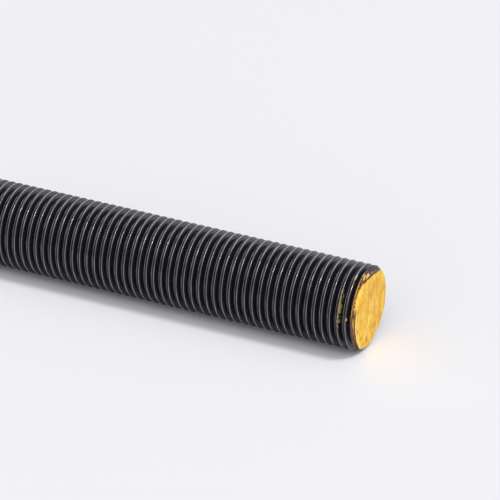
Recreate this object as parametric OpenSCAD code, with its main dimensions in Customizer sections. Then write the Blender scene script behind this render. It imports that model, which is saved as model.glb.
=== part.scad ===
// A cut length of M16 x 1.5 right-hand threaded rod, plain black, with one end painted yellow.
// The rod lies along X on the plane Z = 0, and its painted end faces +X.
// Angles round the rod are taken from +Y towards +Z.

/* [Rod] */
// Length of the steel from end face to end face
rod_length = 90; // [50:5:110]
// Diameter over the thread's crests
thread_d = 15.8; // [12:0.2:24]
// Flat sides that stand for each round turn
sides = 20; // [12:4:24]

/* [Thread] */
// Distance from one crest to the next
pitch = 1.5; // [1.25:0.25:2]
// Width of the flat on top of each crest
crest_w = 0.45; // [0.2:0.05:0.6]
// Width of the flat at the bottom of the groove
root_w = 0.15; // [0.1:0.05:0.3]
// Slope of each flank, from square to the rod
flank_angle = 30; // [27.5:0.5:33]
// Angle round the rod at which the groove runs out through the painted end
runout_angle = 41; // [0:1:359]

/* [Ends] */
// Diameter of the flat face at each end
face_d = 14.4; // [13:0.1:15]
// Slope of the chamfer, from the end face
chamfer_angle = 45; // [30:5:60]

/* [Paint] */
// Thickness of the paint on the end face
paint_t = 0.2; // [0.1:0.05:0.4]
// Bare steel between the paint and the rim of the end face
paint_inset = 0.1; // [0:0.05:0.5]
// Width of the bevel round the edge of the paint
paint_bevel = 0.08; // [0.02:0.02:0.1]

/* [Hidden] */

steel_black = "#26262C";
paint_yellow = "#EBB94B";
$fn = 96;

axis_z = thread_d / 2;
groove_depth = (pitch - crest_w - root_w) / 2 / tan(flank_angle);
// The flats are tangent to the true round, so the corners stand proud by this factor.
corner = 1 / cos(180 / sides);

// One pitch of the thread from the middle of a crest: place along the rod, and radius.
profile = [
    [-crest_w / 2, thread_d / 2],
    [crest_w / 2, thread_d / 2],
    [(pitch - root_w) / 2, thread_d / 2 - groove_depth],
    [(pitch + root_w) / 2, thread_d / 2 - groove_depth]
];
corners = len(profile);
// The thread is made over-long by a full turn or more at each end, for the end faces to be cut from it.
turns = ceil(rod_length / pitch) + 3;
rows = corners * turns;

// Angle of a column of points. A flat side faces straight down.
function column_angle(j) = 360 * (j + 0.5) / sides;

// Point of column j and row m on the thread. A crest lies opposite the groove at the painted end.
function thread_point(j, m) =
    let (
        angle = column_angle(j),
        corner_place = profile[m % corners],
        lead = pitch * ((angle - runout_angle - 180) / 360 + floor(m / corners) - turns + 2),
        radius = corner_place[1] * corner
    )
    [rod_length / 2 + lead + corner_place[0], radius * cos(angle), radius * sin(angle)];

// Place in the list of the point of column j and row m. The column after the last is the first, a turn on.
function point_index(j, m) =
    j == sides ? point_index(0, m + corners)
    : j == 0 ? m
    : rows + corners + 1 + (j - 1) * (rows + 1) + m;

// Long helical bar with raw ends, as a die leaves it before the ends are turned.
module thread_bar() {
    first_column = [for (m = [0 : rows + corners]) thread_point(0, m)];
    other_columns = [for (j = [1 : sides - 1], m = [0 : rows]) thread_point(j, m)];
    near_centre = [first_column[0][0] + pitch / 2, 0, 0];
    far_centre = [first_column[rows][0] + pitch / 2, 0, 0];
    near = len(first_column) + len(other_columns);
    far = near + 1;

    flanks = [for (j = [0 : sides - 1], m = [0 : rows - 1], half = [0, 1])
        half == 0
            ? [point_index(j, m), point_index(j, m + 1), point_index(j + 1, m + 1)]
            : [point_index(j, m), point_index(j + 1, m + 1), point_index(j + 1, m)]];
    near_end = [for (j = [0 : sides - 1]) [near, point_index(j, 0), point_index(j + 1, 0)]];
    near_step = [for (m = [0 : corners - 1]) [near, m + 1, m]];
    far_end = [for (j = [0 : sides - 1]) [far, point_index(j + 1, rows), point_index(j, rows)]];
    far_step = [for (m = [rows : rows + corners - 1]) [far, m, m + 1]];

    polyhedron(
        points = concat(first_column, other_columns, [near_centre, far_centre]),
        faces = concat(flanks, near_end, near_step, far_end, far_step),
        convexity = 10
    );
}

// What the lathe takes off an end: all that lies past the face, and the corner of the chamfer.
module end_cut() {
    reach = thread_d;
    beyond = 3 * pitch;
    rotate_extrude()
        polygon([
            [0, 0],
            [face_d / 2, 0],
            [reach, -(reach - face_d / 2) * tan(chamfer_angle)],
            [reach, beyond],
            [0, beyond]
        ]);
}

// Points +Z of its child along the rod, out of the painted end (1) or the bare end (-1).
module at_end(side) {
    translate([side * rod_length / 2, 0, 0]) rotate([0, side * 90, 0]) children();
}

// The steel rod: one rolled piece, faced and chamfered at both ends.
module rod() {
    color(steel_black)
        translate([0, 0, axis_z])
        difference() {
            thread_bar();
            for (side = [-1, 1]) at_end(side) end_cut();
        }
}

// The dry paint on the marked end: a thin round film with a bevelled edge.
module end_paint() {
    paint_r = face_d / 2 - paint_inset;
    color(paint_yellow)
        translate([0, 0, axis_z])
        at_end(1)
        rotate_extrude()
        polygon([
            [0, 0],
            [paint_r, 0],
            [paint_r, paint_t - paint_bevel],
            [paint_r - paint_bevel, paint_t],
            [0, paint_t]
        ]);
}

rod();
end_paint();
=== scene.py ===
"""A cut length of M16 x 1.5 threaded rod, black, lying on a pale floor with its painted end in front.

The rod lies along X and its painted end faces +X. Lengths are in metres, unless a name ends in _mm
or a comment says millimetres. Angles round the rod are taken from +Y towards +Z, so 90 degrees is its
top and 180 its front.
"""
import logging
import math
from dataclasses import dataclass, field
from enum import Enum

import bmesh
import bpy
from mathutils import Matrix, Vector, noise


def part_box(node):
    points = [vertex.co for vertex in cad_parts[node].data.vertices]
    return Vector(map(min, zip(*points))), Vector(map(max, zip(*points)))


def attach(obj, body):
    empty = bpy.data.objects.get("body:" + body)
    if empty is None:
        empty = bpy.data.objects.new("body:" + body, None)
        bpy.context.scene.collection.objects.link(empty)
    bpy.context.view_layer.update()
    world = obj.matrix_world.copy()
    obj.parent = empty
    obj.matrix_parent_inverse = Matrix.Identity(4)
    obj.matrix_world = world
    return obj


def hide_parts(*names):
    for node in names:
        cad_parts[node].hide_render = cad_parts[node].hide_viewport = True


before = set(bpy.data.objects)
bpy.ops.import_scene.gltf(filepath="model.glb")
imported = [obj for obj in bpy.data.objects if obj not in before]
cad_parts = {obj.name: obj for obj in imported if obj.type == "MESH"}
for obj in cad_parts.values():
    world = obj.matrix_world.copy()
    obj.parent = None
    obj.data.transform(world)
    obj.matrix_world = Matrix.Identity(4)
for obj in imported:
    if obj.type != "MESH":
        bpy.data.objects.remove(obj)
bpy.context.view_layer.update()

MM = 0.001
# Points nearer to each other than this are one point
CLOSE = 0.001 * MM
# Points nearer to a cut than this lie on it
ON_CUT = 0.0001 * MM
# Nearly all values of a noise texture lie between these
NOISE_SPAN = (0.3, 0.7)
log = logging.getLogger("threaded_rod")


class RodEnd(Enum):
    """The two ends of the rod, by the side of the origin that each is on."""

    PAINTED = 1
    BARE = -1


def linear(hex_colour: str) -> tuple[float, float, float, float]:
    """Turns an sRGB colour to linear light.

    Args:
        hex_colour: The colour as "#RRGGBB".

    Returns:
        Red, green and blue in linear light, and an alpha of 1.
    """
    parts = [int(hex_colour[i:i + 2], 16) / 255 for i in (1, 3, 5)]
    light = [c / 12.92 if c <= 0.04045 else ((c + 0.055) / 1.055) ** 2.4 for c in parts]
    return (light[0], light[1], light[2], 1.0)


def add_node(tree: bpy.types.NodeTree, kind: str, inputs: dict | None = None,
             **settings) -> bpy.types.Node:
    """Adds one node, sets it and links it.

    Args:
        tree: The node tree that it goes into.
        kind: Blender's name for the node's type.
        inputs: For each input, by name or number, a plain value or the socket that feeds it.
        settings: The node's own properties.

    Returns:
        The new node.
    """
    node = tree.nodes.new(kind)
    for name, value in settings.items():
        setattr(node, name, value)
    for key, value in (inputs or {}).items():
        if isinstance(value, bpy.types.NodeSocket):
            tree.links.new(value, node.inputs[key])
        else:
            node.inputs[key].default_value = value
    return node


def smooth_min(a: float, b: float, blend: float) -> float:
    """The lower of two heights, with the corner between them rounded over about one blend length."""
    low = min(a, b)
    return low - blend * math.log(math.exp((low - a) / blend) + math.exp((low - b) / blend))


def bell(distance: float, half_width: float) -> float:
    """A smooth bump of height 1 that has mostly gone at its half width."""
    return math.exp(-2 * (distance / half_width) ** 2)


def is_end_face(face: bmesh.types.BMFace) -> bool:
    """Whether a face of the bar lies in a flat end, its normal within 8 degrees of the rod's line."""
    return abs(face.normal.x) > 0.99


def spoke_to(point: Vector, axis_z: float) -> Vector:
    """The way from the rod's axis out to a point, square to the rod."""
    return Vector((0, point.y, point.z - axis_z))


def new_material(name: str) -> tuple[bpy.types.Material, bpy.types.NodeTree, bpy.types.Node]:
    """Makes an empty node material.

    Args:
        name: The material's name.

    Returns:
        The material, its node tree and its output node.
    """
    material = bpy.data.materials.new(name)
    material.use_nodes = True
    material.node_tree.nodes.clear()
    output = add_node(material.node_tree, "ShaderNodeOutputMaterial")
    return material, material.node_tree, output


def finish_piece(name: str, bm: bmesh.types.BMesh, material: bpy.types.Material) -> bpy.types.Object:
    """Turns a bmesh into an object at the origin.

    Args:
        name: The object's name.
        bm: The mesh, which is freed.
        material: The finish of the whole piece.

    Returns:
        The object, linked to the scene.
    """
    mesh = bpy.data.meshes.new(name)
    bm.to_mesh(mesh)
    bm.free()
    mesh.materials.append(material)
    piece = bpy.data.objects.new(name, mesh)
    bpy.context.scene.collection.objects.link(piece)
    return piece


@dataclass(frozen=True)
class Ramp:
    """How one value follows another: what it is at two ends, with a straight run between them."""

    start: float
    end: float
    at_start: float = 0.0
    at_end: float = 1.0

    def sockets(self, value: bpy.types.NodeSocket, unit: float = 1.0) -> dict:
        """Gives the inputs of a Map Range node that follows a value.

        Args:
            value: The value that it follows.
            unit: What start and end are counted in, such as MM for millimetres.

        Returns:
            The inputs by name.
        """
        return {"Value": value, "From Min": self.start * unit, "From Max": self.end * unit,
                "To Min": self.at_start, "To Max": self.at_end}


@dataclass(frozen=True)
class Spot:
    """A spot on the thread, placed along the helix and across it.

    Angles run back from the painted end: 150 - 360 is one turn back from 150. The cover is 1 where
    the spot hides the steel below it.
    """

    angle_deg: float
    half_deg: float
    across_mm: float
    half_mm: float
    cover: float = 1.0


@dataclass(frozen=True)
class ThreadSpots:
    """Spots of one finish on the thread, with ragged edges: paint, rust stain, grime or bare metal.

    Thick paint shows its own colour. Thin paint lets the black steel through and looks olive or brown.
    """

    colour: str
    roughness: float
    ragged: float
    spots: tuple[Spot, ...]
    metallic: float = 0.0
    # Ragged waves in a millimetre, along the helix and across it
    waves: tuple[float, float] = (1.4, 5.0)
    # Shares of a spot's half size at which it starts to fade and is gone
    fade: tuple[float, float] = (0.85, 1.1)

    def over(self, tree: bpy.types.NodeTree, below: bpy.types.NodeSocket, rolled: bpy.types.NodeSocket,
             radius_mm: float) -> bpy.types.NodeSocket:
        """Lays the spots over another finish.

        Args:
            tree: The material's node tree.
            below: The finish under the spots.
            rolled: The map of the thread, in millimetres along and across.
            radius_mm: Radius over the crests.

        Returns:
            The finish with the spots on it.
        """
        finer = add_node(tree, "ShaderNodeMapping", {"Vector": rolled, "Scale": (*self.waves, 1)})
        noisy = add_node(tree, "ShaderNodeTexNoise", {
            "Vector": finer.outputs[0], "Scale": 1.0, "Detail": 4.0})
        wander = add_node(tree, "ShaderNodeMapRange", Ramp(
            *NOISE_SPAN, -self.ragged, self.ragged).sockets(noisy.outputs[0]), clamp=False)
        cover = None
        for spot in self.spots:
            half = (math.radians(spot.half_deg) * radius_mm, spot.half_mm)
            middle = (math.radians(spot.angle_deg) * radius_mm, spot.across_mm)
            local = add_node(tree, "ShaderNodeMapping", {
                "Vector": rolled, "Location": (-middle[0] / half[0], -middle[1] / half[1], 0),
                "Scale": (1 / half[0], 1 / half[1], 1)})
            away = add_node(tree, "ShaderNodeVectorMath", {0: local.outputs[0]}, operation="LENGTH")
            edge = add_node(tree, "ShaderNodeMath", {0: away.outputs["Value"], 1: wander.outputs[0]})
            mask = add_node(tree, "ShaderNodeMapRange", Ramp(
                *self.fade, spot.cover, 0.0).sockets(edge.outputs[0])).outputs[0]
            cover = mask if cover is None else add_node(
                tree, "ShaderNodeMath", {0: cover, 1: mask}, operation="MAXIMUM").outputs[0]
        top = add_node(tree, "ShaderNodeBsdfPrincipled", {
            "Base Color": linear(self.colour), "Metallic": self.metallic, "Roughness": self.roughness})
        return add_node(tree, "ShaderNodeMixShader", {0: cover, 1: below, 2: top.outputs[0]}).outputs[0]


@dataclass(frozen=True)
class BlackOxideSteel:
    """Blackened and oiled steel, as thread rolling leaves it.

    Rolling squeezes the metal up into two lips with a furrow between them. The oxide is almost black
    and glossy with oil, soot darkens the grooves, and the furrow is darker too. Handling has rubbed the
    lips greyer, and how far follows their height, which paints highlights: each crest shows two bright
    lines on the upper front. Elsewhere the crest's left half is painted dark as shade, and there is one
    line. The turned end faces carry fine rings.
    """

    oxide: str = "#404046"
    # Lips rubbed greyer, placed by height so that they also paint highlight lines
    rubbed_and_highlight: str = "#A6A6AC"
    # Soot in the grooves, the darker furrow, the painted shade on the crest's left half and the end
    # faces' rings
    soot_and_shade: str = "#26262C"
    bare: str = "#BCBCC0"
    # Roughness under the painted shade
    shade_roughness: float = 0.6
    streak_mm: float = 3.0
    streak_width_mm: float = 0.125
    nick_mm: float = 0.22
    # The real grain of the oxide is finer. It is drawn this coarse so that it shows.
    grain_mm: float = 0.12
    grain_height_mm: float = 0.015
    lip_mm: float = 0.235
    lip_half_mm: float = 0.06
    # Shares of the lip's half width at which the rubbing starts to fade and is gone
    lip_fade: tuple[float, float] = (0.3, 1.3)
    # Shares of the way to the lip at which the darkening in the furrow starts to fade and is gone
    furrow_fade: tuple[float, float] = (0.4, 0.8)
    # Depths under the crests at which the soot in the groove is full and is gone
    groove_fade_mm: tuple[float, float] = (0.25, 0.08)
    # What the streaks and the small noise give: rubbing, gloss, rings on an end face, and nicks
    rubbing: Ramp = Ramp(0.3, 0.65, 0.25, 1.0)
    gloss: Ramp = Ramp(*NOISE_SPAN, 0.18, 0.32)
    rings: Ramp = Ramp(0.35, 0.6)
    nicks: Ramp = Ramp(0.64, 0.74)
    # How far each lip is rubbed, by its height over the floor in millimetres, which paints highlight
    # lines on the lips
    left_rub_and_highlight: Ramp = Ramp(6.0, 11.0, 0.1, 1.0)
    right_rub_and_highlight: Ramp = Ramp(4.0, 7.0, 1.5, 0.9)
    # Where shade is painted on the crest's left half, in millimetres: top and back by Y, low down by Z,
    # and the crest's left half
    shade_top_back: Ramp = Ramp(-3.0, -1.6)
    shade_low_down: Ramp = Ramp(5.0, 7.2, 1.0, 0.0)
    left_half: Ramp = Ramp(-0.02, 0.10, 1.0, 0.0)
    # The metal shows less in the groove, under the soot
    metal: Ramp = Ramp(0.0, 1.0, 1.0, 0.7)
    # Spots on the last turns before the painted end, from the lowest layer to the highest
    stain: ThreadSpots = ThreadSpots("#6E3C06", 0.5, 1.1, (
        Spot(160, 66, 0.12, 0.60, 0.85),
        Spot(104, 15, -0.10, 0.50, 0.8),
        Spot(112 - 360, 12, 0.20, 0.18, 0.5),
    ))
    grime: ThreadSpots = ThreadSpots("#1C1B15", 0.75, 0.9, (
        Spot(74, 24, 0.30, 0.38, 0.9),
    ))
    splash: ThreadSpots = ThreadSpots("#E0AC38", 0.45, 0.3, (
        Spot(122, 22, -0.30, 0.13),
        Spot(148, 18, -0.28, 0.08, 0.6),
        Spot(140, 19, 0.40, 0.42),
        Spot(104, 5, 0.10, 0.12, 0.8),
        Spot(97, 6, 0.42, 0.20),
        Spot(86, 4, 0.62, 0.12),
        Spot(158, 2.5, 0.27, 0.12),
        Spot(172, 8, 0.02, 0.06, 0.6),
        Spot(190, 24, 0.22, 0.16, 0.7),
        Spot(168 - 360, 2, 0.38, 0.10, 0.7),
    ))
    smear: ThreadSpots = ThreadSpots("#C4AC56", 0.4, 1.6, (
        Spot(155 - 720, 17, 0.33, 0.17, 0.42),
        Spot(153 - 720, 12, 0.50, 0.12, 0.25),
    ))
    scrapes: ThreadSpots = ThreadSpots("#E8EAF0", 0.25, 0.5, (
        Spot(109 - 360, 7, 0.22, 0.10, 0.5),
        Spot(126 - 360, 5, 0.24, 0.07, 0.3),
        Spot(101, 4, -0.20, 0.06, 0.5),
    ), metallic=1.0)

    def groove_soot(self, tree: bpy.types.NodeTree, place: bpy.types.NodeSocket,
                    bar: "ThreadedBar") -> bpy.types.NodeSocket:
        """Finds the groove, by the distance from the rod's axis.

        Args:
            tree: The material's node tree.
            place: Object coordinates.
            bar: The bar, which gives the axis and the radius over the crests.

        Returns:
            A mask, 1 in the groove and 0 on the crests.
        """
        centred = add_node(tree, "ShaderNodeMapping", {"Vector": place, "Location": (0, 0, -bar.axis_z)})
        spoke = add_node(tree, "ShaderNodeVectorMath", {0: centred.outputs[0], 1: (0, 1, 1)},
                         operation="MULTIPLY")
        radius = add_node(tree, "ShaderNodeVectorMath", {0: spoke.outputs[0]}, operation="LENGTH")
        full, gone = (bar.radius - depth * MM for depth in self.groove_fade_mm)
        return add_node(tree, "ShaderNodeMapRange", Ramp(
            full, gone, 1.0, 0.0).sockets(radius.outputs["Value"])).outputs[0]

    def lips(self, tree: bpy.types.NodeTree, across: bpy.types.NodeSocket) -> bpy.types.NodeSocket:
        """Finds the two lips of the crest.

        Args:
            tree: The material's node tree.
            across: Distance in millimetres from the middle of the crest.

        Returns:
            A mask, 1 on a lip.
        """
        beyond = add_node(tree, "ShaderNodeMath", {0: across, 1: self.lip_mm}, operation="SUBTRACT")
        away = add_node(tree, "ShaderNodeMath", {0: beyond.outputs[0]}, operation="ABSOLUTE")
        full, gone = (share * self.lip_half_mm for share in self.lip_fade)
        return add_node(tree, "ShaderNodeMapRange", Ramp(full, gone, 1.0, 0.0).sockets(away.outputs[0]),
                        interpolation_type="SMOOTHSTEP").outputs[0]

    def left_half_shade(self, tree: bpy.types.NodeTree, side: bpy.types.Node,
                  offset: bpy.types.NodeSocket) -> bpy.types.NodeSocket:
        """Finds the painted shade on the crest's left half, which is left off on the upper front alone.

        Args:
            tree: The material's node tree.
            side: The node that gives X, Y and Z on the bar.
            offset: Distance in millimetres to the right of the middle of the crest.

        Returns:
            A mask, 1 under the painted shade.
        """
        shade_top_back = add_node(tree, "ShaderNodeMapRange", self.shade_top_back.sockets(side.outputs["Y"], MM))
        shade_low_down = add_node(tree, "ShaderNodeMapRange", self.shade_low_down.sockets(side.outputs["Z"], MM))
        left = add_node(tree, "ShaderNodeMapRange", self.left_half.sockets(offset))
        around = add_node(tree, "ShaderNodeMath", {0: shade_top_back.outputs[0], 1: shade_low_down.outputs[0]},
                          operation="MAXIMUM")
        return add_node(tree, "ShaderNodeMath", {0: around.outputs[0], 1: left.outputs[0]},
                        operation="MULTIPLY").outputs[0]

    def wear(self, tree: bpy.types.NodeTree, side: bpy.types.Node, offset: bpy.types.NodeSocket,
             streak: bpy.types.NodeSocket, painted_shade: bpy.types.NodeSocket) -> bpy.types.NodeSocket:
        """Says how far handling has rubbed a lip, more or less by its height, which paints highlights on
        the lips.

        Args:
            tree: The material's node tree.
            side: The node that gives X, Y and Z on the bar.
            offset: Distance in millimetres to the right of the middle of the crest.
            streak: Noise in streaks along the helix.
            painted_shade: Mask of the painted shade, where nothing is rubbed.

        Returns:
            How far it is rubbed and painted bright, from 0 up.
        """
        patchy = add_node(tree, "ShaderNodeMapRange", self.rubbing.sockets(streak))
        on_left = add_node(tree, "ShaderNodeMapRange", self.left_rub_and_highlight.sockets(side.outputs["Z"], MM))
        on_right = add_node(tree, "ShaderNodeMapRange", self.right_rub_and_highlight.sockets(side.outputs["Z"], MM))
        is_right = add_node(tree, "ShaderNodeMath", {0: offset, 1: 0.0}, operation="GREATER_THAN")
        rub_and_highlight_by_height = add_node(tree, "ShaderNodeMix", {
            "Factor": is_right.outputs[0], 2: on_left.outputs[0], 3: on_right.outputs[0]},
            data_type="FLOAT")
        kept = add_node(tree, "ShaderNodeMath", {0: 1.0, 1: painted_shade}, operation="SUBTRACT")
        rubbed_and_highlit = add_node(tree, "ShaderNodeMath", {0: patchy.outputs[0], 1: rub_and_highlight_by_height.outputs[0]},
                           operation="MULTIPLY")
        return add_node(tree, "ShaderNodeMath", {0: rubbed_and_highlit.outputs[0], 1: kept.outputs[0]},
                        operation="MULTIPLY").outputs[0]

    def join_soot_and_shade(self, tree: bpy.types.NodeTree, groove: bpy.types.NodeSocket,
                  across: bpy.types.NodeSocket, painted_shade: bpy.types.NodeSocket) -> bpy.types.NodeSocket:
        """Joins the soot of the groove, the darker furrow and the painted shade on the crest's left
        half.

        Args:
            tree: The material's node tree.
            groove: Mask of the groove.
            across: Distance in millimetres from the middle of the crest.
            painted_shade: Mask of the painted shade on the crest's left half.

        Returns:
            A mask, 1 in the soot, the furrow and the painted shade.
        """
        full, gone = (share * self.lip_mm for share in self.furrow_fade)
        furrow = add_node(tree, "ShaderNodeMapRange", Ramp(full, gone, 1.0, 0.0).sockets(across))
        low = add_node(tree, "ShaderNodeMath", {0: groove, 1: furrow.outputs[0]}, operation="MAXIMUM")
        return add_node(tree, "ShaderNodeMath", {0: low.outputs[0], 1: painted_shade},
                        operation="MAXIMUM").outputs[0]

    def material(self, bar: "ThreadedBar") -> bpy.types.Material:
        """Builds the material.

        Args:
            bar: The bar that wears it, which gives the axis and the radius over the crests.

        Returns:
            The material.
        """
        steel, tree, output = new_material("black_oxide_steel")
        place = add_node(tree, "ShaderNodeTexCoord").outputs["Object"]
        side = add_node(tree, "ShaderNodeSeparateXYZ", {0: place})
        rolled = add_node(tree, "ShaderNodeUVMap", uv_map="rolled").outputs[0]
        unrolled = add_node(tree, "ShaderNodeSeparateXYZ", {0: rolled})
        offset = unrolled.outputs["Y"]
        across = add_node(tree, "ShaderNodeMath", {0: offset}, operation="ABSOLUTE").outputs[0]
        streaks = add_node(tree, "ShaderNodeMapping", {
            "Vector": rolled, "Scale": (1 / self.streak_mm, 1 / self.streak_width_mm, 1)})
        streak = add_node(tree, "ShaderNodeTexNoise", {
            "Vector": streaks.outputs[0], "Scale": 1.0, "Detail": 4.0}).outputs[0]

        groove = self.groove_soot(tree, place, bar)
        lip = self.lips(tree, across)
        # Shade is painted on the crest's left half, at the top and back and low down
        painted_shade = self.left_half_shade(tree, side, offset)
        # The lips' rubbing follows their height, which paints highlights on them
        rubbed_and_highlit = self.wear(tree, side, offset, streak, painted_shade)
        worn_and_highlit = add_node(tree, "ShaderNodeMath", {0: lip, 1: rubbed_and_highlit}, operation="MULTIPLY")
        # Only the map of an end face lies so far along
        faced = add_node(tree, "ShaderNodeMath", {
            0: unrolled.outputs["X"], 1: bar.turning_start / 2 / MM}, operation="GREATER_THAN")
        ring = add_node(tree, "ShaderNodeMapRange", self.rings.sockets(streak))
        dark = add_node(tree, "ShaderNodeMix", {
            "Factor": faced.outputs[0], 2: self.join_soot_and_shade(tree, groove, across, painted_shade),
            3: ring.outputs[0]}, data_type="FLOAT")
        speckle = add_node(tree, "ShaderNodeTexNoise", {
            "Vector": rolled, "Scale": 1 / self.nick_mm, "Detail": 1.0})
        nick = add_node(tree, "ShaderNodeMapRange", self.nicks.sockets(speckle.outputs[0]))
        nicked = add_node(tree, "ShaderNodeMath", {0: nick.outputs[0], 1: lip}, operation="MULTIPLY")
        colour = linear(self.oxide)
        # Soot with painted shade, then rubbing with painted highlights, then nicks
        for mask, over in ((dark, self.soot_and_shade), (worn_and_highlit, self.rubbed_and_highlight), (nicked, self.bare)):
            colour = add_node(tree, "ShaderNodeMix", {
                "Factor": mask.outputs[0], 6: colour, 7: linear(over)}, data_type="RGBA").outputs[2]

        gloss = add_node(tree, "ShaderNodeMapRange", self.gloss.sockets(streak))
        rough = add_node(tree, "ShaderNodeMix", {
            "Factor": painted_shade, 2: gloss.outputs[0], 3: self.shade_roughness}, data_type="FLOAT")
        metal = add_node(tree, "ShaderNodeMapRange", self.metal.sockets(groove))
        grain = add_node(tree, "ShaderNodeTexNoise", {
            "Vector": place, "Scale": 1 / (self.grain_mm * MM), "Detail": 3.0})
        bump = add_node(tree, "ShaderNodeBump", {
            "Height": grain.outputs[0], "Strength": 0.3, "Distance": self.grain_height_mm * MM})
        shader = add_node(tree, "ShaderNodeBsdfPrincipled", {
            "Base Color": colour, "Metallic": metal.outputs[0], "Roughness": rough.outputs[0],
            "Normal": bump.outputs[0]})
        surface = shader.outputs[0]
        for spots in (self.stain, self.grime, self.splash, self.smear, self.scrapes):
            surface = spots.over(tree, surface, rolled, bar.radius / MM)
        tree.links.new(surface, output.inputs["Surface"])
        return steel


@dataclass(frozen=True)
class FaceMark:
    """A stain on the painted face. The cover is 1 where it hides the yellow."""

    angle_deg: float
    radius_mm: float
    half_mm: float
    cover: float


@dataclass(frozen=True)
class BrushedEnamel:
    """Yellow marking enamel, put on thick with a brush.

    It hides the steel fully and dried with faint strokes. Half its gloss is lost. It is paler in
    blotches, and rust from below has stained it orange. A painted highlight lies along the front of
    its rim.
    """

    yellow: str = "#F6CC3C"
    deep: str = "#DC9E1C"
    stain: str = "#C4741E"
    # Pale paint where it is thick, and the painted highlight along the rim's front
    pale_and_highlight: str = "#FADC84"
    blotch_mm: float = 2.4
    stroke_mm: float = 0.45
    # Height of a brush stroke, and its width as a share of its length
    stroke_height_mm: float = 0.06
    stroke_width: float = 0.25
    # What the strokes give: the tone, and how far a stain's edge wanders in half sizes
    tone: Ramp = Ramp(0.35, 0.65)
    wander: Ramp = Ramp(*NOISE_SPAN, -0.6, 0.6)
    # What the blotches give: pale paint where it is thick, and rust from below
    thick: Ramp = Ramp(0.44, 0.30, 0.0, 0.7)
    rusty: Ramp = Ramp(0.55, 0.75, 0.0, 0.8)
    # Shares of a stain's half size at which it starts to fade and is gone
    fade: tuple[float, float] = (0.5, 1.2)
    marks: tuple[FaceMark, ...] = (
        FaceMark(223, 5.5, 0.9, 0.75),
        FaceMark(196, 6.1, 0.6, 0.7),
        FaceMark(253, 5.7, 0.7, 0.9),
        FaceMark(100, 3.0, 1.3, 0.5),
        FaceMark(60, 5.0, 1.5, 0.45),
        FaceMark(320, 5.8, 1.2, 0.4),
    )

    def material(self, axis_z: float) -> bpy.types.Material:
        """Builds the material.

        Args:
            axis_z: Height of the rod's axis.

        Returns:
            The material.
        """
        enamel, tree, output = new_material("brushed_yellow_enamel")
        place = add_node(tree, "ShaderNodeTexCoord").outputs["Object"]
        blotches = add_node(tree, "ShaderNodeTexNoise", {
            "Vector": place, "Scale": 1 / (self.blotch_mm * MM), "Detail": 4.0,
            "Roughness": 0.6}).outputs[0]
        stretched = add_node(tree, "ShaderNodeMapping", {
            "Vector": place, "Scale": (1, 1, self.stroke_width)})
        strokes = add_node(tree, "ShaderNodeTexNoise", {
            "Vector": stretched.outputs[0], "Scale": 1 / (self.stroke_mm * MM),
            "Detail": 3.0}).outputs[0]
        wander = add_node(tree, "ShaderNodeMapRange", self.wander.sockets(strokes)).outputs[0]
        rust = add_node(tree, "ShaderNodeMapRange", self.rusty.sockets(blotches)).outputs[0]
        for mark in self.marks:
            turn, half = math.radians(mark.angle_deg), mark.half_mm * MM
            radius = mark.radius_mm * MM
            middle = (0.0, radius * math.cos(turn), axis_z + radius * math.sin(turn))
            local = add_node(tree, "ShaderNodeMapping", {
                "Vector": place, "Location": tuple(-c / half for c in middle),
                "Scale": (0, 1 / half, 1 / half)})
            away = add_node(tree, "ShaderNodeVectorMath", {0: local.outputs[0]}, operation="LENGTH")
            edge = add_node(tree, "ShaderNodeMath", {0: away.outputs["Value"], 1: wander})
            spot = add_node(tree, "ShaderNodeMapRange", Ramp(
                *self.fade, mark.cover, 0.0).sockets(edge.outputs[0]))
            rust = add_node(tree, "ShaderNodeMath", {0: rust, 1: spot.outputs[0]},
                            operation="MAXIMUM").outputs[0]
        stroke = add_node(tree, "ShaderNodeMapRange", self.tone.sockets(strokes)).outputs[0]
        thick = add_node(tree, "ShaderNodeMapRange", self.thick.sockets(blotches)).outputs[0]
        # The pale stretch of the rim is a painted highlight
        rim = add_node(tree, "ShaderNodeAttribute", attribute_name="rim_highlight").outputs["Fac"]
        colour = linear(self.deep)
        for mask, over in ((stroke, self.yellow), (thick, self.pale_and_highlight), (rim, self.pale_and_highlight),
                           (rust, self.stain)):
            colour = add_node(tree, "ShaderNodeMix", {
                "Factor": mask, 6: colour, 7: linear(over)}, data_type="RGBA").outputs[2]
        bump = add_node(tree, "ShaderNodeBump", {
            "Height": strokes, "Strength": 0.6, "Distance": self.stroke_height_mm * MM})
        shader = add_node(tree, "ShaderNodeBsdfPrincipled", {
            "Base Color": colour, "Roughness": 0.5, "Specular IOR Level": 0.24,
            "Normal": bump.outputs[0]})
        tree.links.new(shader.outputs[0], output.inputs["Surface"])
        return enamel


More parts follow.
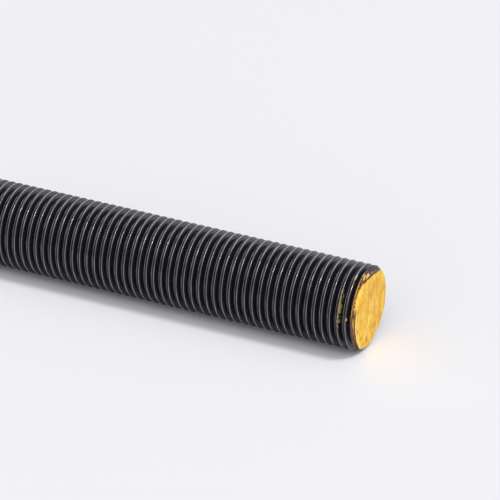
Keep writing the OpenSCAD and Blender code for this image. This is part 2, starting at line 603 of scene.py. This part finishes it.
@dataclass
class ThreadedBar:
    """The steel bar: one rolled right-hand thread between two chamfered ends.

    Each crest has two lips with a furrow between them, and its left lip is a little lower.
    """

    low: Vector
    high: Vector
    pitch: float = 1.5 * MM
    depth: float = 0.78 * MM
    crest_half: float = 0.27 * MM
    flank_deg: float = 30.0
    furrow_depth: float = 0.08 * MM
    furrow_half: float = 0.20 * MM
    lip_round: float = 0.03 * MM
    # How much lower the left lip is, and half the width over which the crest steps down to it
    lip_step: float = 0.11 * MM
    lip_step_half: float = 0.10 * MM
    face_radius: float = 7.2 * MM
    # How much the chamfer's radius grows for each length in from the face, and the gap between its cuts
    chamfer_slope: float = 1.0
    chamfer_cut: float = 0.05 * MM
    # Angle round the rod at which the groove runs out through the painted end
    runout_deg: float = 41.0
    # Steps in a turn, and the bend from which an edge is sharp
    steps: int = 72
    sharp_deg: float = 40.0
    # Points of half a pitch's outline, in millimetres from the middle of the crest
    places_mm: tuple[float, ...] = (0.0, 0.06, 0.12, 0.17, 0.205, 0.235, 0.265, 0.30, 0.35, 0.68)
    # How far from the middle of a crest the furrow and the dents reach
    worn_half: float = 0.45 * MM
    # Share of the furrow's depth that is filled, by waves along it and again at the lower front
    fill: float = 0.6
    fill_wave_mm: float = 5.0
    filled_deg: float = 225.0
    filled_half_deg: float = 60.0
    # Length and width of the dents, how deep they go, and what of the noise makes none
    dent_length_mm: float = 0.9
    dent_width_mm: float = 0.3
    dent_depth: float = 0.06 * MM
    dent_floor: float = 0.35
    # Where along the map an end face starts, and how much it is stretched
    turning_start: float = 1.0
    turning_stretch: float = 5.0
    finish: BlackOxideSteel = field(default_factory=BlackOxideSteel)

    @property
    def radius(self) -> float:
        """Radius over the crests."""
        return (self.high.z - self.low.z) / 2

    @property
    def axis_z(self) -> float:
        """Height of the rod's axis."""
        return (self.high.z + self.low.z) / 2

    @property
    def first_crest(self) -> float:
        """Place along X of a crest's middle at angle 0, near the painted end."""
        return self.high.x - self.pitch * (self.runout_deg + 180) / 360

    def height(self, place: float) -> float:
        """Height of the thread over its root radius.

        Args:
            place: Distance along the rod from the middle of the crest.

        Returns:
            The height, from 0 in the root to nearly the thread's depth on the right lip.
        """
        crest = self.depth - self.furrow_depth * bell(place, self.furrow_half)
        crest -= self.lip_step * (0.5 - 0.5 * math.tanh(place / self.lip_step_half))
        slope = math.tan(math.radians(self.flank_deg))
        half = self.crest_half if place > 0 else self.crest_half - self.lip_step * slope
        flank = self.depth - (abs(place) - half) / slope
        return max(smooth_min(crest, flank, self.lip_round), 0.0)

    def helix(self, point: Vector, near: Vector | None = None) -> tuple[float, float]:
        """Unrolls a point of the bar.

        Args:
            point: The point.
            near: A point on the same turn, where the point may lie on the seam between two turns.

        Returns:
            The angle along the helix in radians, 0 where the crest leaves angle 0 near the painted
            end, and the distance along the rod from the crest's middle.
        """
        turn = math.atan2(point.z - self.axis_z, point.y) / math.tau
        along = (point.x - self.first_crest) / self.pitch - turn
        if near is None:
            count = round(along)
        else:
            near_turn = math.atan2(near.z - self.axis_z, near.y) / math.tau
            count = round((near.x - self.first_crest) / self.pitch - near_turn)
            step = round(near_turn - turn)
            turn += step
            along -= step
        return math.tau * (turn + count), (along - count) * self.pitch

    def roll_thread(self) -> bmesh.types.BMesh:
        """Spins one pitch of the thread's outline through a turn, and repeats the turn along the rod.

        Returns:
            The thread as an open tube, a turn or more longer than the rod at each end.
        """
        bm = bmesh.new()
        turns = math.ceil((self.high.x - self.low.x) / self.pitch) + 2
        start = self.first_crest + self.pitch
        half = [MM * place for place in self.places_mm]
        places = [-self.pitch / 2] + [-p for p in reversed(half[1:])] + half + [self.pitch / 2]
        root = self.radius - self.depth
        outline = [bm.verts.new((start + p, root + self.height(p), self.axis_z)) for p in places]
        for a, b in zip(outline, outline[1:]):
            bm.edges.new((a, b))
        bmesh.ops.spin(bm, geom=bm.verts[:] + bm.edges[:], cent=(0, 0, self.axis_z), axis=(1, 0, 0),
                       dvec=(self.pitch / self.steps, 0, 0), angle=math.tau, steps=self.steps)
        rolled = 1
        while rolled < turns:
            copied = bmesh.ops.duplicate(bm, geom=bm.verts[:] + bm.edges[:] + bm.faces[:])["geom"]
            moved = [item for item in copied if isinstance(item, bmesh.types.BMVert)]
            bmesh.ops.translate(bm, verts=moved, vec=(-rolled * self.pitch, 0, 0))
            rolled *= 2
        bmesh.ops.remove_doubles(bm, verts=bm.verts[:], dist=CLOSE)
        return bm

    def wear_crests(self, bm: bmesh.types.BMesh) -> None:
        """Fills the furrow here and there and dents the crests, as rolling and handling leave them.

        Args:
            bm: The thread.
        """
        # Rows of the noise, far enough apart to have nothing in common
        furrow_row, dent_row = 3.1, 7.7
        for vert in bm.verts:
            angle, place = self.helix(vert.co)
            if abs(place) > self.worn_half:
                continue
            along = angle * self.radius / MM
            from_filled = (math.degrees(angle) - self.filled_deg + 180) % 360 - 180
            fill = self.fill * noise.noise(Vector((along / self.fill_wave_mm, furrow_row, 0.0)))
            fill += self.fill * bell(from_filled, self.filled_half_deg)
            dented = noise.noise(Vector((
                along / self.dent_length_mm, place / MM / self.dent_width_mm, dent_row)))
            rise = self.furrow_depth * fill * bell(place, self.furrow_half)
            rise -= self.dent_depth * max(0.0, dented - self.dent_floor)
            vert.co += spoke_to(vert.co, self.axis_z).normalized() * min(rise, self.furrow_depth)

    def face_end(self, bm: bmesh.types.BMesh, end: RodEnd) -> None:
        """Cuts an end square, chamfers it and closes it.

        Args:
            bm: The thread.
            end: Which end is cut.
        """
        face_x = self.high.x if end is RodEnd.PAINTED else self.low.x
        normal = Vector((end.value, 0, 0))
        everything = bm.verts[:] + bm.edges[:] + bm.faces[:]
        bmesh.ops.bisect_plane(bm, geom=everything, dist=ON_CUT, plane_co=(face_x, 0, 0),
                               plane_no=normal, clear_outer=True)
        reach = (self.radius - self.face_radius) / self.chamfer_slope
        for k in range(1, math.ceil(reach / self.chamfer_cut) + 2):
            cut_x = face_x - end.value * k * self.chamfer_cut
            faces = [f for f in bm.faces if abs(f.calc_center_median().x - face_x) < reach + self.pitch]
            near = list({item for f in faces for item in [*f.verts, *f.edges]}) + faces
            bmesh.ops.bisect_plane(bm, geom=near, dist=ON_CUT, plane_co=(cut_x, 0, 0), plane_no=normal)
        for vert in bm.verts:
            inward = (face_x - vert.co.x) * end.value
            limit = self.face_radius + inward * self.chamfer_slope
            spoke = spoke_to(vert.co, self.axis_z)
            if inward < reach + self.chamfer_cut and spoke.length > limit:
                vert.co -= spoke * (1 - limit / spoke.length)
        rim = [e for e in bm.edges if e.is_boundary and abs(e.verts[0].co.x - face_x) < CLOSE]
        for edge in rim:
            for vert in edge.verts:
                vert.co.x = face_x
        cap = bmesh.ops.holes_fill(bm, edges=rim, sides=0)["faces"]
        bmesh.ops.poke(bm, faces=cap)

    def unroll_uvs(self, bm: bmesh.types.BMesh) -> None:
        """Lays the map called rolled: millimetres along the helix, and millimetres across the thread.

        On an end face it runs out from the middle instead, so that the streaks become turning marks.
        It starts there far from all spots, and stays in the groove, where nothing is rubbed.

        Args:
            bm: The finished mesh of the bar.
        """
        layer = bm.loops.layers.uv.new("rolled")
        for face in bm.faces:
            middle = face.calc_center_median()
            for loop in face.loops:
                angle, place = self.helix(loop.vert.co, middle)
                along = angle * self.radius
                if is_end_face(face):
                    spoke = spoke_to(loop.vert.co, self.axis_z)
                    along = self.turning_start + self.turning_stretch * spoke.length
                    place = self.pitch / 2
                loop[layer].uv = (along / MM, place / MM)

    def build(self) -> bpy.types.Object:
        """Makes the bar and dresses it.

        Returns:
            The bar, riding on the root body in place of its CAD node.
        """
        bm = self.roll_thread()
        self.wear_crests(bm)
        for end in RodEnd:
            self.face_end(bm, end)
        bmesh.ops.recalc_face_normals(bm, faces=bm.faces[:])
        self.unroll_uvs(bm)
        for face in bm.faces:
            face.smooth = True
        for edge in bm.edges:
            # The rim of an end face is sharp, also where the groove's flank slopes gently into it
            ends = {is_end_face(face) for face in edge.link_faces}
            edge.smooth = edge.calc_face_angle(0) < math.radians(self.sharp_deg) and len(ends) == 1
        piece = finish_piece("threaded_bar", bm, self.finish.material(self))
        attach(piece, "root")
        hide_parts("rod")
        return piece


@dataclass
class PaintCoat:
    """The thick coat of paint on the end face, with a rounded, ragged edge."""

    low: Vector
    high: Vector
    bar: ThreadedBar
    edge_radius: float = 7.13 * MM
    bead: float = 0.10 * MM
    bead_deg: tuple[int, ...] = (25, 50, 75, 105, 135, 160, 180)
    rings: int = 14
    steps: int = 180
    # Mean thickness as a share of the greatest, and the length and height of each wave in it
    level: float = 0.8
    waves: tuple[tuple[float, float], ...] = ((1.6 * MM, 0.12), (0.6 * MM, 0.06))
    # The higher, the nearer to its edge the round coat is drawn out to the real outline
    stretch_power: int = 6
    # How far the edge wanders, how often, and the row of the noise that it follows
    ragged: float = 0.05 * MM
    ragged_waves: float = 9.0
    ragged_row: float = 0.4
    # Angle round the rod, and radius of the edge there in millimetres
    edge_points: tuple[tuple[float, float], ...] = (
        (0, 7.42), (20, 7.45), (38, 7.45), (52, 7.10), (70, 6.52), (91, 6.48), (106, 7.0), (118, 7.45),
        (135, 7.55), (147, 7.45), (158, 6.90), (176, 6.80), (196, 6.78), (215, 7.0), (236, 7.35),
        (262, 7.38), (276, 7.20), (290, 6.85), (311, 7.05), (335, 7.30))
    # Middle and half width of the painted highlight along the rim, and the share of the radius where it
    # starts
    highlight_deg: float = 188.0
    highlight_half_deg: float = 62.0
    highlight_start: float = 0.98
    finish: BrushedEnamel = field(default_factory=BrushedEnamel)

    @property
    def thickness(self) -> float:
        """Greatest thickness of the coat."""
        return self.high.x - self.low.x

    def edge(self, angle: float) -> float:
        """Radius of the coat's edge.

        Args:
            angle: Angle round the rod, in radians.

        Returns:
            The radius.
        """
        degrees = math.degrees(angle) % 360
        ring = [*self.edge_points, (self.edge_points[0][0] + 360, self.edge_points[0][1])]
        (a, low), (b, high) = next(pair for pair in zip(ring, ring[1:]) if degrees <= pair[1][0])
        share = (degrees - a) / (b - a)
        radius = MM * (low + (high - low) * share * share * (3 - 2 * share))
        return radius + self.ragged * noise.noise(
            Vector((math.cos(angle), math.sin(angle), self.ragged_row)) * self.ragged_waves)

    def build(self) -> bpy.types.Object:
        """Makes the coat and dresses it.

        Returns:
            The coat, riding on the root body in place of its CAD node.
        """
        bm = bmesh.new()
        full = self.level * self.thickness
        inner = self.edge_radius - self.bead
        top = [(inner * k / self.rings, full) for k in range(self.rings + 1)]
        bead = [(inner + self.bead * math.sin(a), full * (0.5 + 0.5 * math.cos(a)))
                for a in (math.radians(d) for d in self.bead_deg)]
        outline = top + bead + [(0.0, 0.0)]
        points = [bm.verts.new((self.low.x + h, r, self.bar.axis_z)) for r, h in outline]
        for a, b in zip(points, points[1:]):
            bm.edges.new((a, b))
        bmesh.ops.spin(bm, geom=bm.verts[:] + bm.edges[:], cent=(0, 0, self.bar.axis_z), axis=(1, 0, 0),
                       angle=math.tau, steps=self.steps, use_merge=True)
        bmesh.ops.remove_doubles(bm, verts=bm.verts[:], dist=CLOSE)
        # A painted highlight along the front of the rim
        rim = bm.verts.layers.float.new("rim_highlight")
        for vert in bm.verts:
            spoke = spoke_to(vert.co, self.bar.axis_z)
            share = spoke.length / self.edge_radius
            angle = math.atan2(spoke.z, spoke.y)
            if share > self.highlight_start:
                vert[rim] = bell(math.degrees(angle) % 360 - self.highlight_deg, self.highlight_half_deg)
            stretch = 1 + (self.edge(angle) / self.edge_radius - 1) * share ** self.stretch_power
            vert.co += spoke * (stretch - 1)
            wave = sum(noise.noise(vert.co / length) * height for length, height in self.waves)
            vert.co.x = min(self.low.x + (vert.co.x - self.low.x) * (1 + wave), self.high.x)
            over = spoke.length * stretch - self.bar.face_radius
            if over > 0:
                vert.co.x -= over / self.bar.chamfer_slope
        bmesh.ops.recalc_face_normals(bm, faces=bm.faces[:])
        for face in bm.faces:
            face.smooth = True
        piece = finish_piece("paint_coat", bm, self.finish.material(self.bar.axis_z))
        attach(piece, "root")
        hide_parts("end_paint")
        return piece


@dataclass(frozen=True)
class SoftBox:
    """A lamp behind a cloth. A level of 1 makes the cloth as bright as white paper in the light."""

    name: str
    direction: tuple[float, float, float]
    width: float
    depth: float
    level: float
    distance: float = 5.0

    def build(self, aim: Vector) -> bpy.types.Object:
        """Hangs the box so that it faces a point.

        Args:
            aim: The point.

        Returns:
            The lamp.
        """
        lamp = bpy.data.lights.new(self.name, "AREA")
        lamp.shape = "RECTANGLE"
        lamp.size = self.width
        lamp.size_y = self.depth
        lamp.energy = self.level * math.pi * self.width * self.depth
        box = bpy.data.objects.new(self.name, lamp)
        away = Vector(self.direction).normalized()
        box.location = aim + away * self.distance
        box.rotation_euler = away.to_track_quat("Z", "Y").to_euler()
        bpy.context.scene.collection.objects.link(box)
        return box


@dataclass
class Studio:
    """The pale floor, the soft lights and the camera."""

    aim: Vector
    # The camera's direction, and its place from the aim
    azimuth_deg: float = 24.66
    elevation_deg: float = 30.30
    camera_place: Vector = field(default_factory=lambda: Vector((0.16969, -0.42102, 0.27712)))
    lens_mm: float = 215.3
    sensor_mm: float = 36.0
    floor_size: float = 3.0
    floor_colour: str = "#F0F0F2"
    room_colour: str = "#FBFBFF"
    # The room's brighter side, its light there and opposite, and the cosines between which it grows
    light_side: tuple[float, float, float] = (0.6, -0.8, 0.0)
    front_level: float = 0.92
    back_level: float = 0.17
    light_fade: tuple[float, float] = (-0.5, 0.5)
    ceiling_level: float = 0.22
    # Axis of the direction, where along it the backdrop starts and is full, and its level there
    pale_sides: tuple[tuple[str, float, float, float], ...] = (
        ("Y", 0.0, 0.5, 1.8), ("X", -0.45, -0.85, 1.1), ("X", 0.0, 0.5, 1.2), ("Z", 0.02, -0.02, 0.9))
    boxes: tuple[SoftBox, ...] = (
        SoftBox("key_box", direction=(0.50, -0.10, 0.86), width=1.0, depth=1.0, level=32.5),
        SoftBox("front_box", direction=(0.30, -0.45, 0.77), width=3.8, depth=2.4, level=1.55),
        SoftBox("left_box", direction=(-0.85, -0.25, 0.45), width=2.2, depth=2.2, level=0.7),
    )

    def build_floor(self) -> bpy.types.Object:
        """Makes the floor, a painted board, so matte that it shows soft shadows and no reflections.

        Returns:
            The floor.
        """
        material, tree, output = new_material("matte_pale_board")
        shader = add_node(tree, "ShaderNodeBsdfPrincipled", {
            "Base Color": linear(self.floor_colour), "Roughness": 0.9, "Specular IOR Level": 0.1})
        tree.links.new(shader.outputs[0], output.inputs["Surface"])
        bm = bmesh.new()
        bmesh.ops.create_grid(bm, x_segments=4, y_segments=4, size=self.floor_size / 2)
        floor = finish_piece("floor", bm, material)
        return floor

    def build_lights(self) -> None:
        """Hangs the soft boxes and lights the room."""
        for box in self.boxes:
            box.build(self.aim)
        self.build_room()

    def build_room(self) -> None:
        """Lights the room, more from the front, with a pale backdrop that camera, gloss and glass see.

        The backdrop is pale at the back, at both sides and at floor level. It has a dim ceiling, from
        overhead to the front, which keeps the crests of the thread dark between their bright edges.
        """
        world = bpy.data.worlds.new("studio_room")
        world.use_nodes = True
        tree = world.node_tree
        tree.nodes.clear()
        output = add_node(tree, "ShaderNodeOutputWorld")
        toward = add_node(tree, "ShaderNodeTexCoord").outputs["Generated"]
        ray = add_node(tree, "ShaderNodeSeparateXYZ", {0: toward})
        backdrop = None
        for axis, start, full, level in self.pale_sides:
            side = add_node(tree, "ShaderNodeMapRange", Ramp(
                start, full, self.ceiling_level, level).sockets(ray.outputs[axis]),
                interpolation_type="SMOOTHSTEP").outputs[0]
            backdrop = side if backdrop is None else add_node(
                tree, "ShaderNodeMath", {0: backdrop, 1: side}, operation="MAXIMUM").outputs[0]
        path = add_node(tree, "ShaderNodeLightPath")
        seen = path.outputs["Is Camera Ray"]
        for kind in ("Is Glossy Ray", "Is Transmission Ray"):
            seen = add_node(tree, "ShaderNodeMath", {0: seen, 1: path.outputs[kind]},
                            operation="MAXIMUM").outputs[0]
        facing = add_node(tree, "ShaderNodeVectorMath", {0: toward, 1: self.light_side},
                          operation="DOT_PRODUCT")
        light = add_node(tree, "ShaderNodeMapRange", Ramp(
            *self.light_fade, self.back_level, self.front_level).sockets(facing.outputs["Value"]),
            interpolation_type="SMOOTHSTEP")
        strength = add_node(tree, "ShaderNodeMix", {
            "Factor": seen, 2: light.outputs[0], 3: backdrop}, data_type="FLOAT")
        room = add_node(tree, "ShaderNodeBackground", {
            "Color": linear(self.room_colour), "Strength": strength.outputs[0]})
        tree.links.new(room.outputs[0], output.inputs["Surface"])
        bpy.context.scene.world = world

    def build_camera(self) -> bpy.types.Object:
        """Places the camera, which looks down on the painted end from the right.

        Returns:
            The camera.
        """
        azimuth, elevation = math.radians(self.azimuth_deg), math.radians(self.elevation_deg)
        back = Vector((math.sin(azimuth) * math.cos(elevation), -math.cos(azimuth) * math.cos(elevation),
                       math.sin(elevation)))
        data = bpy.data.cameras.new("camera")
        data.lens = self.lens_mm
        data.sensor_width = self.sensor_mm
        data.clip_start = 0.01
        data.clip_end = 10
        camera = bpy.data.objects.new("camera", data)
        camera.location = self.aim + self.camera_place
        camera.rotation_euler = back.to_track_quat("Z", "Y").to_euler()
        bpy.context.scene.collection.objects.link(camera)
        bpy.context.scene.camera = camera
        return camera


def main() -> None:
    """Builds the rod and its studio."""
    logging.basicConfig(level=logging.INFO, format="%(message)s")
    bpy.context.scene.view_settings.view_transform = "Standard"
    bar = ThreadedBar(*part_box("rod"))
    coat = PaintCoat(*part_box("end_paint"), bar=bar)
    studio = Studio(aim=Vector((coat.high.x, 0, bar.axis_z)))
    studio.build_camera()
    for piece in (bar.build(), coat.build(), studio.build_floor()):
        log.info("%s: %d faces", piece.name, len(piece.data.polygons))
    studio.build_lights()


if __name__ == "__main__":
    main()
